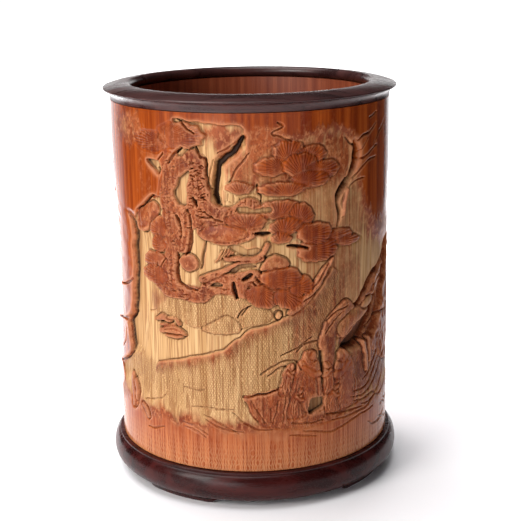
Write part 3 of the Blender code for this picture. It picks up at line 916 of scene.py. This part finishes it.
def cracks(pen, low, high, count, seed):
    """Uneven cracks that run down a cliff between two corners."""
    random = np.random.default_rng(seed)
    for s in np.linspace(low[0], high[0], count):
        z = high[1] - random.uniform(0.0, 14.0)
        path = []
        while z > low[1]:
            path.append((s, z, random.uniform(0.25, 0.6)))
            s += random.uniform(-2.6, 2.6)
            z -= random.uniform(4.0, 8.0)
        if len(path) > 1:
            pen.groove(path, random.uniform(0.5, 1.2), lean=0.5)


def ripples(pen, low, high, count, seed):
    """Short engraved water lines, scattered between two corners."""
    random = np.random.default_rng(seed)
    for _ in range(count):
        s, z = random.uniform(low[0], high[0]), random.uniform(low[1], high[1])
        reach, bend = random.uniform(3.0, 8.0), random.uniform(-1.4, 1.4)
        line = [(s - reach, z, 0.2), (s, z + bend, 0.45), (s + reach, z - 0.4 * bend, 0.2)]
        pen.groove(line, 0.45, lean=0.4)


def small_pine(pen):
    """A smaller pine in its own coordinates: its foot is at 0, 0 and it is about 50 mm tall."""
    pen.bough([(-1, -3, 3.6), (1, 9, 2.6), (-2, 19, 2.2), (3, 30, 1.7), (1, 41, 1.0)],
              level=-0.4, crown=0.5)
    for path in (
        [(0, 12, 1.3), (8, 15, 1.1), (15, 14.4, 0.7), (20, 16, 0.4)],
        [(-1.6, 20, 1.3), (-9, 22, 1.1), (-16, 20, 0.7)],
        [(2.4, 29, 1.1), (9, 33, 0.9), (15, 33, 0.5)],
        [(1.6, 33, 1.0), (-6, 37, 0.8), (-12, 37, 0.5)],
    ):
        pen.bough(path, level=-0.45, crown=0.4)
    for centre, half, root in (
        ((17, 20.4), (7.4, 3.2), (14, 15)), ((9, 20), (6.4, 3.0), (8, 16)),
        ((22, 17), (5.6, 2.6), (16, 15)), ((-16, 25.4), (7.6, 3.4), (-13, 21)),
        ((-8, 27), (6.4, 3.0), (-8, 23)), ((-19, 21), (6.0, 2.8), (-13, 20)),
        ((13, 37.4), (7.0, 3.2), (11, 33)), ((18, 33.4), (5.4, 2.6), (13, 33)),
        ((-12, 41), (6.8, 3.0), (-9, 37)), ((-3, 42.6), (7.0, 3.4), (-1, 38)),
        ((5, 44.6), (7.0, 3.4), (2, 40)), ((1, 49.4), (5.8, 3.2), (1, 44)),
    ):
        pen.pad(centre, half, root, -0.5)
    pen.ticks((-0.4, 2), (0.2, 16), 11, length=1.2, depth=0.4)
    pen.ticks((-1.6, 20), (2.2, 28), 7, length=1.0, depth=0.4)
    pen.grooves(0.8, [
        [(-3.4, 2, 0.4), (-1.2, 8, 0.5), (-2.4, 15, 0.4)],
        [(2.6, 1, 0.4), (2.8, 8, 0.5), (0.6, 14, 0.4)],
    ])


def far_valley(pen):
    """The back of the pot: a broad valley with hills, a river and rocks along its shores."""
    pen.region(
        [(122, 120), (132, 131), (146, 137), (163, 141), (182, 139), (200, 142), (218, 138),
         (232, 130), (243, 118), (246, 100), (243, 82), (248, 66), (243, 50), (226, 42),
         (200, 38), (172, 40), (146, 38), (128, 44), (116, 56), (113, 76), (118, 96)],
        -1.2, FLESH, wall=0.9,
    )
    for outline, level in (
        ([(140, 84), (148, 97), (156, 107), (163, 112), (170, 107), (180, 96), (190, 86), (180, 80),
          (150, 80)], -1.05),
        ([(172, 84), (184, 98), (192, 106), (199, 109), (206, 103), (216, 92), (228, 84),
          (200, 78)], -0.95),
        ([(126, 80), (134, 88), (141, 93), (150, 88), (160, 80), (140, 76)], -0.85),
    ):
        pen.region(outline, level, BARE, wall=0.9, crown=0.3, soft=4.0, edge=0.5, texture=punched)
    pen.region([(116, 66), (130, 70), (146, 69), (160, 64), (178, 60), (190, 62), (176, 52),
                (150, 48), (124, 50)],
               -0.8, 0.5, wall=1.0, crown=0.4, soft=3.0, edge=0.5, texture=punched)
    pen.region([(196, 55), (206, 61), (218, 66), (232, 69), (246, 70), (250, 56), (240, 46),
                (216, 46)],
               -0.7, 0.6, wall=1.0, crown=0.4, soft=3.0, edge=0.6, texture=rocky)
    for outline in (
        [(166, 46), (171, 52), (178, 54), (184, 50), (185, 45), (176, 43)],
        [(181, 44), (185, 48.4), (191, 49), (195, 45.6), (190, 42)],
        [(140, 45), (144, 50), (150, 51), (154, 46.6), (148, 43)],
        [(206, 73), (211, 79), (218, 80), (223, 75), (216, 71)],
        [(150, 73), (154, 78), (161, 78), (165, 73.6), (158, 71)],
    ):
        pen.region(outline, -0.65, WORN, crown=0.6, soft=1.6, edge=0.8, texture=rocky)
    pen.grooves(0.45, [
        [(150, 96, 0.3), (158, 104, 0.4), (164, 106, 0.3)],
        [(186, 96, 0.3), (195, 103, 0.4), (202, 101, 0.3)],
        [(128, 82, 0.3), (136, 87, 0.4), (144, 86, 0.3)],
        [(150, 122, 0.3), (166, 126, 0.5), (180, 123, 0.3)],
        [(196, 128, 0.3), (208, 131, 0.4), (220, 127, 0.3)],
        [(158, 119, 0.2), (170, 121.4, 0.4), (176, 119, 0.2)],
    ])
    ripples(pen, (122, 30), (240, 41), 26, seed=31)
    ripples(pen, (168, 62), (206, 74), 10, seed=32)


def side_cliffs(pen):
    """The two cliffs that frame the valley, on the right and the left of the pot."""
    for outline in (
        [(84, 112), (90, 126), (100, 136), (110, 138), (118, 128), (121, 112), (117, 96),
         (113, 78), (116, 60), (122, 46), (112, 36), (92, 38), (80, 46), (84, 70), (80, 92)],
        [(243, 118), (252, 128), (262, 132), (274, 126), (280, 112), (276, 90), (280, 66),
         (274, 46), (258, 38), (244, 42), (248, 64), (243, 82), (247, 100)],
    ):
        pen.region(outline, -0.35, WORN, wall=1.0, crown=0.3, soft=4.0, edge=0.5, texture=rocky)
    cracks(pen, (84, 48), (118, 132), 9, seed=21)
    cracks(pen, (248, 48), (276, 126), 8, seed=22)
    pen.grooves(2.0, [
        [(98, 134, 0.8), (102, 120, 1.4), (100, 108, 1.6), (104, 96, 1.2), (103, 84, 0.6)],
        [(262, 124, 0.6), (258, 112, 1.3), (262, 98, 1.5), (259, 84, 1.0), (262, 72, 0.5)],
        [(112, 70, 0.5), (106, 62, 1.1), (104, 52, 1.0), (99, 45, 0.5)],
    ], lean=0.4)
    ripples(pen, (64, 24), (122, 38), 16, seed=33)
    ripples(pen, (240, 24), (296, 36), 14, seed=34)


def carve_front(relief):
    pen = Pen(relief)
    front_ground(pen)
    water(pen)
    far_shore(pen)
    bank(pen)
    left_cliff(pen)
    right_rocks(pen)
    pine_trunk(pen)
    boughs(pen)
    pine_pads(pen)
    trunk_hollows(pen)
    deep_gashes(pen)
    boat(pen)
    waves(pen)


def carve_back(relief):
    pen = Pen(relief)
    far_valley(pen)
    side_cliffs(pen)
    for foot, mirror, size in (
        ((102.0, 96.0), False, 1.05), ((231.0, 66.0), True, 1.25),
        ((141.0, 66.0), False, 0.7), ((264.0, 108.0), False, 0.8),
    ):
        small_pine(Pen(relief, foot, mirror, size))


# ---------------------------------------------------------------- meshes


def ring(radius, height, columns):
    """One ring of vertices in metres, from the back. radius may differ from place to place."""
    angle = np.arange(columns) * FULL_TURN / columns - math.pi
    return np.column_stack(
        (radius * np.sin(angle) * MM, -radius * np.cos(angle) * MM, np.full(columns, height * MM))
    )


def ring_faces(count, columns):
    """Four-sided faces between neighbouring rings of vertices. The last ring joins the first."""
    row, column = np.meshgrid(np.arange(count), np.arange(columns), indexing="ij")
    right, above = (column + 1) % columns, (row + 1) % count
    corners = (row * columns + column, row * columns + right, above * columns + right,
               above * columns + column)
    return np.stack(corners, axis=-1).reshape(-1, 4)


def grid_mesh(name, vertices, faces):
    mesh = bpy.data.meshes.new(name)
    mesh.vertices.add(len(vertices))
    mesh.vertices.foreach_set("co", vertices.astype(np.float32).ravel())
    mesh.loops.add(faces.size)
    mesh.loops.foreach_set("vertex_index", faces.astype(np.int32).ravel())
    mesh.polygons.add(len(faces))
    mesh.polygons.foreach_set("loop_start", np.arange(0, faces.size, 4, dtype=np.int32))
    mesh.update(calc_edges=True)
    mesh.shade_smooth()
    return mesh


def link(name, data):
    thing = bpy.data.objects.new(name, data)
    bpy.context.scene.collection.objects.link(thing)
    return thing


def add_piece(mesh, node):
    """A visible piece in the place of a CAD node."""
    piece = link(mesh.name, mesh)
    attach(piece, "root")
    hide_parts(node)


# ---------------------------------------------------------------- the carved tube


def carve():
    relief = Relief()
    relief.height += 0.03 * relief.noise(9.0, 30.0, 11)
    carve_back(relief)
    carve_front(relief)
    relief.height = np.clip(relief.height, DEEPEST, PROUDEST)
    return relief


def tube_rings(relief):
    """The carved skin, both spigots and the bore as rings, and the number of the skin's first one."""
    low = [(TUBE_BORE, TUBE_LOW), (SPIGOT_RADIUS, TUBE_LOW), (SPIGOT_RADIUS, SKIN_FOOT)]
    skin = [(TUBE_RADIUS + heights, SKIN_FOOT + row * relief.step_z)
            for row, heights in enumerate(relief.height)]
    high = [(SPIGOT_RADIUS, SKIN_HEAD), (SPIGOT_RADIUS, TUBE_HIGH), (TUBE_BORE, TUBE_HIGH)]
    return [ring(radius, z, relief.columns) for radius, z in low + skin + high], len(low)


def make_tube(relief):
    rings, first_skin = tube_rings(relief)
    mesh = grid_mesh("carved_tube", np.concatenate(rings), ring_faces(len(rings), relief.columns))
    mesh.materials.append(carved_bamboo())
    mesh.materials.append(bamboo_inside())
    row = np.repeat(np.arange(len(rings)), relief.columns)
    on_skin = (row >= first_skin) & (row < first_skin + relief.rows - 1)
    mesh.polygons.foreach_set("material_index", np.where(on_skin, 0, 1).astype(np.int32))
    painted = {
        "tone": relief.tone,
        "stipple": relief.stipple,
        "comb": relief.comb,
        "strand": relief.strand,
        "hollow": relief.hollow(),
    }
    for name, values in painted.items():
        everywhere = np.zeros((len(rings), relief.columns), np.float32)
        everywhere[first_skin:first_skin + relief.rows] = values
        attribute = mesh.attributes.new(name, "FLOAT", "POINT")
        attribute.data.foreach_set("value", everywhere.ravel())
    mesh.set_sharp_from_angle(angle=math.radians(70))
    add_piece(mesh, "bamboo_tube")


# ---------------------------------------------------------------- the turned rim and base


def arc(centre, half_axes, start_deg, end_deg, steps):
    angles = np.radians(np.linspace(start_deg, end_deg, steps + 1))
    return [
        (centre[0] + half_axes[0] * math.cos(a), centre[1] + half_axes[1] * math.sin(a))
        for a in angles
    ]


def rim_profile():
    """A flared band, a thin shadow groove, a sharp lip, and a top that rolls over into the bore."""
    band_radius = RIM_RADIUS - 0.4
    band_half_axes = (band_radius - TUBE_RADIUS, LIP_Z - 0.7 - RIM_LOW)
    band = arc((band_radius, RIM_LOW), band_half_axes, 180, 95, 16)
    groove = [(RIM_RADIUS - 0.75, LIP_Z - 0.6), (RIM_RADIUS - 0.7, LIP_Z - 0.45)]
    lip = arc((RIM_RADIUS - 0.3, LIP_Z - 0.1), (0.3, 0.35), -80, 75, 8)
    top = curve_through([(RIM_RADIUS - 1.2, LIP_Z + 0.55), (57.6, LIP_Z + 1.1), (55.2, LIP_Z + 1.6),
                         (53.0, LIP_Z + 1.9)], steps=6)
    seat = TUBE_HIGH + GLUE_GAP
    roll_middle = (RIM_BORE + RIM_ROLL, (RIM_HIGH + seat) / 2.0)
    roll = arc(roll_middle, (RIM_ROLL, (RIM_HIGH - seat) / 2.0), 90, 270, 32)
    inner = [(SOCKET_RADIUS, seat), (SOCKET_RADIUS, RIM_LOW)]
    return band + groove + lip + [tuple(point) for point in top] + roll + inner


def base_profile():
    """A small rounded fillet, a full half-round under it, and a socket with a ledge inside."""
    fillet_z = BASE_HIGH - FILLET_HEIGHT
    middle = (fillet_z + BASE_LOW) / 2.0
    half = (fillet_z - BASE_LOW) / 2.0
    neck = FILLET_RADIUS - FILLET_STEP
    softness = 0.3
    fillet = arc((FILLET_RADIUS - softness, BASE_HIGH - softness), (softness, softness), 90, 0, 6)
    upper = arc((neck, middle), (BASE_RADIUS - neck, half), 90, 0, 24)
    lower = arc((UNDERSIDE_RADIUS, middle), (BASE_RADIUS - UNDERSIDE_RADIUS, half), 0, -90, 24)
    inner = [(BASE_BORE, BASE_LOW), (BASE_BORE, LEDGE_Z), (SOCKET_RADIUS, LEDGE_Z),
             (SOCKET_RADIUS, BASE_HIGH)]
    return fillet + [(FILLET_RADIUS, fillet_z)] + upper + lower[1:] + inner


def make_turned(name, profile, material, node):
    """Turns a closed profile of (radius, height) in mm round the axis, with a slight unevenness."""
    profile = np.array(profile)
    angle = np.arange(RING_SEGMENTS) * FULL_TURN / RING_SEGMENTS
    uneven = np.sin(2.0 * angle + 0.7) + 0.6 * np.sin(5.0 * angle) + 0.3 * np.sin(11.0 * angle)
    radius = profile[:, :1] + TURNING_WOBBLE * uneven
    height = np.repeat(profile[:, 1:], RING_SEGMENTS, axis=1)
    points = np.stack((radius * np.cos(angle) * MM, radius * np.sin(angle) * MM, height * MM), axis=-1)
    mesh = grid_mesh(name, points.reshape(-1, 3), ring_faces(len(profile), RING_SEGMENTS))
    mesh.set_sharp_from_angle(angle=math.radians(38))
    mesh.materials.append(material)
    add_piece(mesh, node)


# ---------------------------------------------------------------- materials


class Shader:
    """A material's node tree, with short calls to add nodes and join them."""

    def __init__(self, name):
        self.material = bpy.data.materials.new(name)
        self.material.use_nodes = True
        self.tree = self.material.node_tree
        self.surface = self.tree.nodes["Principled BSDF"]

    def put(self, socket, value):
        if isinstance(value, bpy.types.NodeSocket):
            self.tree.links.new(value, socket)
        else:
            socket.default_value = value

    def fill(self, node, inputs):
        for name, value in inputs.items():
            self.put(node.inputs[name.replace("_", " ")], value)

    def set(self, **inputs):
        self.fill(self.surface, inputs)

    def node(self, kind, out=0, **inputs):
        made = self.tree.nodes.new(kind)
        self.fill(made, inputs)
        return made.outputs[out]

    def attribute(self, name):
        made = self.tree.nodes.new("ShaderNodeAttribute")
        made.attribute_name = name
        return made.outputs["Fac"]

    def coordinates(self):
        return self.node("ShaderNodeTexCoord", out="Object")

    def noise(self, scale, detail=3.0, distortion=0.0):
        """Noise from 0 to 1. scale says how many spots there are per metre along x, y and z."""
        place = self.node("ShaderNodeMapping", Vector=self.coordinates(), Scale=scale)
        return self.node("ShaderNodeTexNoise", Vector=place, Scale=1.0, Detail=detail,
                         Distortion=distortion)

    def span(self, value, low, high, to_low=0.0, to_high=1.0):
        made = self.tree.nodes.new("ShaderNodeMapRange")
        for place, number in enumerate((value, low, high, to_low, to_high)):
            self.put(made.inputs[place], number)
        return made.outputs[0]

    def math(self, operation, first, second=0.0):
        made = self.tree.nodes.new("ShaderNodeMath")
        made.operation = operation
        self.put(made.inputs[0], first)
        self.put(made.inputs[1], second)
        return made.outputs[0]

    def times(self, first, second):
        return self.math("MULTIPLY", first, second)

    def mix(self, share, first, second, blend="MIX"):
        made = self.tree.nodes.new("ShaderNodeMix")
        made.data_type = "RGBA"
        made.blend_type = blend
        for place, value in ((0, share), (6, first), (7, second)):
            self.put(made.inputs[place], value)
        return made.outputs[2]

    def bump(self, height, strength, distance):
        return self.node("ShaderNodeBump", Height=height, Strength=strength, Distance=distance)


def unrolled(shader):
    """The place on the unrolled skin in mm: how far round from the front, and how far up."""
    parts = shader.tree.nodes.new("ShaderNodeSeparateXYZ")
    shader.put(parts.inputs[0], shader.coordinates())
    turn = shader.math("ARCTAN2", parts.outputs[0], shader.times(parts.outputs[1], -1.0))
    return shader.times(turn, TUBE_RADIUS), shader.times(parts.outputs[2], 1.0 / MM)


def lattice(shader, width, height):
    """A slightly uneven net of slanting lines, with cells of this width and height in mm."""
    across, up = unrolled(shader)
    warp = shader.span(shader.noise((360.0, 360.0, 240.0), detail=1.0), 0.3, 0.7, -0.6, 0.6)
    level = shader.math("ADD", shader.times(across, FULL_TURN / width), shader.times(warp, FULL_TURN))
    slant = shader.times(up, FULL_TURN / height)
    rising = shader.math("COSINE", shader.math("ADD", level, slant))
    falling = shader.math("COSINE", shader.math("SUBTRACT", level, slant))
    return shader.math("MAXIMUM", rising, falling)


def polished_skin(m, streaks, fibres, z):
    """Deep red with darker fibres, lighter and flamed near the pot's foot. z is in metres."""
    skin = m.mix(m.span(streaks, 0.35, 0.65), *SKIN_COLOURS)
    skin = m.mix(m.span(fibres, 0.5, 0.75, 0.0, 0.6), skin, SKIN_FIBRE)
    low_skin = m.mix(m.span(fibres, 0.4, 0.6), *LOW_SKIN_COLOURS)
    flames = m.times(m.span(lattice(m, 1.1, 4.2), 0.2, 0.9), m.span(z, 0.030, 0.014, 0.0, 0.55))
    low_skin = m.mix(flames, low_skin, FLAME)
    return m.mix(m.span(z, 0.046, 0.026), skin, low_skin)


def worn_wood(m, z):
    """Red-brown carved faces with a pale grain and dark specks."""
    patches = m.noise((90.0, 90.0, 60.0))
    grain = m.noise((700.0, 700.0, 500.0))
    specks = m.noise((1700.0, 1700.0, 1100.0), detail=1.0)
    worn = m.mix(m.span(patches, 0.35, 0.65), *WORN_COLOURS)
    worn = m.mix(m.span(grain, 0.50, 0.62, 0.0, 0.5), worn, WORN_GRAIN)
    worn = m.mix(m.span(specks, 0.54, 0.64, 0.0, 0.55), worn, WORN_SPECK)
    return m.mix(m.span(z, 0.034, 0.028), worn, LOW_WORN)


def pale_flesh(m, streaks):
    bundles = m.noise((1500.0, 1500.0, 40.0), detail=2.0)
    flesh = m.mix(m.span(streaks, 0.3, 0.7), *FLESH_COLOURS)
    return m.mix(m.span(bundles, 0.48, 0.60, 0.0, 0.65), flesh, FLESH_FIBRE)


def carved_bamboo():
    """Red polished skin over pale flesh, with fibres that run up the tube."""
    m = Shader("carved_bamboo")
    tone = m.attribute("tone")
    hollow = m.attribute("hollow")
    streaks = m.noise((420.0, 420.0, 12.0), detail=4.0)
    fibres = m.noise((1300.0, 1300.0, 40.0), detail=2.0)
    z = m.node("ShaderNodeSeparateXYZ", out="Z", Vector=m.coordinates())

    uneven = m.math("ADD", tone, m.span(streaks, 0.3, 0.7, -0.09, 0.09))
    colour = m.mix(m.span(uneven, 0.1, 0.5), pale_flesh(m, streaks), worn_wood(m, z))
    colour = m.mix(m.span(uneven, 0.72, 0.98), colour, polished_skin(m, streaks, fibres, z))
    # Pits and needle grooves are darkened: painted shade, finer than the grid can cast.
    pits = m.times(m.attribute("stipple"), m.span(lattice(m, 1.0, 1.9), 0.2, 0.95))
    colour = m.mix(m.times(pits, 0.6), colour, PIT_SHADE, "MULTIPLY")
    across_needles = m.math("COSINE", m.times(m.attribute("strand"), FULL_TURN))
    needles = m.times(m.attribute("comb"), m.span(across_needles, -0.2, 0.8))
    colour = m.mix(m.times(needles, 0.5), colour, NEEDLE_SHADE, "MULTIPLY")
    # Painted shade in cuts, recesses and deep clefts: brown, then near black the deeper a place lies.
    colour = m.mix(m.span(hollow, 0.12, 0.55, 0.0, 0.6), colour, HOLLOW_SHADE_BROWN)
    colour = m.mix(m.span(hollow, 0.55, 1.25, 0.0, 0.92), colour, HOLLOW_SHADE_BLACK)
    # Raised edges and crests are lightened: partly rubbed wear, partly a painted highlight.
    colour = m.mix(m.span(hollow, -0.06, -0.4, 0.0, 0.45), colour, RUBBED_EDGE_AND_HIGHLIGHT)
    gloss = m.math("ADD", m.span(tone, 0.2, 1.0, 0.55, 0.14), m.span(fibres, 0.3, 0.7, -0.02, 0.05))
    relief = m.math("SUBTRACT", m.times(fibres, 0.5), m.times(pits, 1.2))
    relief = m.math("SUBTRACT", relief, m.times(needles, 0.8))
    m.set(Base_Color=colour, Roughness=gloss, Normal=m.bump(relief, 0.6, 0.00025))
    m.set(Specular_IOR_Level=0.15)
    return m.material


def bamboo_inside():
    m = Shader("bamboo_inside")
    streaks = m.noise((420.0, 420.0, 7.0))
    fibres = m.noise((1600.0, 1600.0, 30.0), detail=2.0)
    colour = m.mix(m.span(streaks, 0.3, 0.7), *BORE_COLOURS)
    colour = m.mix(m.span(fibres, 0.5, 0.7, 0.0, 0.35), colour, BORE_FIBRE)
    m.set(Base_Color=colour, Roughness=0.42, Normal=m.bump(fibres, 0.3, 0.0002))
    return m.material


def rosewood(name, dark, light, roughness, shine):
    """Close-grained red-black wood. The grain runs along x."""
    m = Shader(name)
    bands = m.noise((22.0, 190.0, 190.0), detail=4.0, distortion=0.6)
    pores = m.noise((180.0, 2600.0, 2600.0), detail=2.0)
    clouds = m.noise((40.0, 60.0, 60.0), detail=2.0)
    colour = m.mix(m.span(bands, 0.35, 0.65), dark, light)
    colour = m.mix(m.span(pores, 0.56, 0.68, 0.0, 0.7), colour, WOOD_PORE)
    colour = m.mix(m.span(clouds, 0.4, 0.7, 0.0, 0.3), colour, light)
    gloss = m.math("ADD", m.span(bands, 0.3, 0.7, roughness - 0.04, roughness + 0.06),
                   m.span(pores, 0.5, 0.7, 0.0, 0.12))
    m.set(Base_Color=colour, Roughness=gloss, Normal=m.bump(pores, 0.2, 0.0001))
    m.set(Specular_IOR_Level=shine)
    return m.material


def mottled(name, dark, light, scale, roughness):
    """A plain card or paper, barely mottled."""
    m = Shader(name)
    mottle = m.noise((scale, scale, scale), detail=2.0)
    m.set(Base_Color=m.mix(mottle, dark, light), Roughness=roughness)
    return m


# ---------------------------------------------------------------- stage


def make_sheet(name, corners, material):
    mesh = bpy.data.meshes.new(name)
    mesh.from_pydata(corners, [], [(0, 1, 2, 3)])
    mesh.materials.append(material)
    sheet = link(name, mesh)
    return sheet


def make_floor():
    paper = mottled("pale_floor", (0.91, 0.90, 0.93, 1), (0.93, 0.92, 0.94, 1), 9.0, 0.7)
    signs = ((-1, -1), (1, -1), (1, 1), (-1, 1))
    make_sheet("floor", [(x * FLOOR_REACH, y * FLOOR_REACH, 0) for x, y in signs], paper.material)


def make_flag(name, start, end, height):
    """A black card out of sight, standing between two places, which its side of the pot reflects."""
    card = mottled("black_card", (0.01, 0.01, 0.01, 1), (0.02, 0.02, 0.02, 1), 40.0, 0.9)
    card.set(Specular_IOR_Level=0.1)
    corners = [(*start, 0), (*end, 0), (*end, height), (*start, height)]
    make_sheet(name, corners, card.material).visible_camera = False


def make_light(name, place, aim, size, power, colour, reflected):
    data = bpy.data.lights.new(name, "AREA")
    data.shape = "RECTANGLE"
    data.size, data.size_y = size
    data.energy = power
    data.color = colour
    light = link(name, data)
    light.location = place
    light.rotation_euler = (Vector(aim) - Vector(place)).to_track_quat("-Z", "Y").to_euler()
    light.visible_camera = False
    light.visible_glossy = reflected


def make_sky_light():
    """A broad soft light from overhead, which whitens the table and leaves the sides in shade."""
    data = bpy.data.lights.new("overhead", "SUN")
    data.energy = SKY_STRENGTH
    data.angle = math.radians(SKY_SPREAD_DEG)
    link("overhead", data).rotation_euler = [math.radians(tilt) for tilt in SKY_TILT_DEG]


def make_world():
    world = bpy.data.worlds.new("studio")
    world.use_nodes = True
    background = world.node_tree.nodes["Background"]
    background.inputs["Color"].default_value = WORLD_COLOUR
    background.inputs["Strength"].default_value = WORLD_STRENGTH
    bpy.context.scene.world = world


def make_camera():
    """The view slopes down by the pitch, with a slight yaw and roll."""
    heading = Vector((math.sin(CAMERA_YAW), math.cos(CAMERA_YAW), 0.0))
    forward = math.cos(CAMERA_PITCH) * heading - Vector((0.0, 0.0, math.sin(CAMERA_PITCH)))
    level = Vector((heading.y, -heading.x, 0.0))
    upright = level.cross(forward)
    right = math.cos(CAMERA_ROLL) * level - math.sin(CAMERA_ROLL) * upright
    up = math.sin(CAMERA_ROLL) * level + math.cos(CAMERA_ROLL) * upright
    data = bpy.data.cameras.new("camera")
    data.lens = CAMERA_LENS
    data.sensor_width = CAMERA_SENSOR
    camera = link("camera", data)
    axes = Matrix((right, up, -forward)).transposed().to_4x4()
    camera.matrix_world = Matrix.Translation(CAMERA_PLACE) @ axes
    bpy.context.scene.camera = camera


def repaint(node, material):
    node.data.materials.clear()
    node.data.materials.append(material)


def build():
    make_camera()
    make_world()
    make_floor()
    for name, card in FLAGS.items():
        make_flag(name, *card)
    make_sky_light()
    for name, lamp in LAMPS.items():
        make_light(name, *lamp)
    woods = {name: rosewood(name, *wood) for name, wood in WOODS.items()}
    make_tube(carve())
    make_turned("turned_rim", rim_profile(), woods["rim_wood"], "rim_ring")
    make_turned("turned_base", base_profile(), woods["base_wood"], "base_ring")
    repaint(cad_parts["floor_board"], woods["board_wood"])
    for name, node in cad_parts.items():
        if name.startswith("foot_"):
            repaint(node, woods["base_wood"])
    bpy.context.scene.view_settings.view_transform = "Standard"


build()
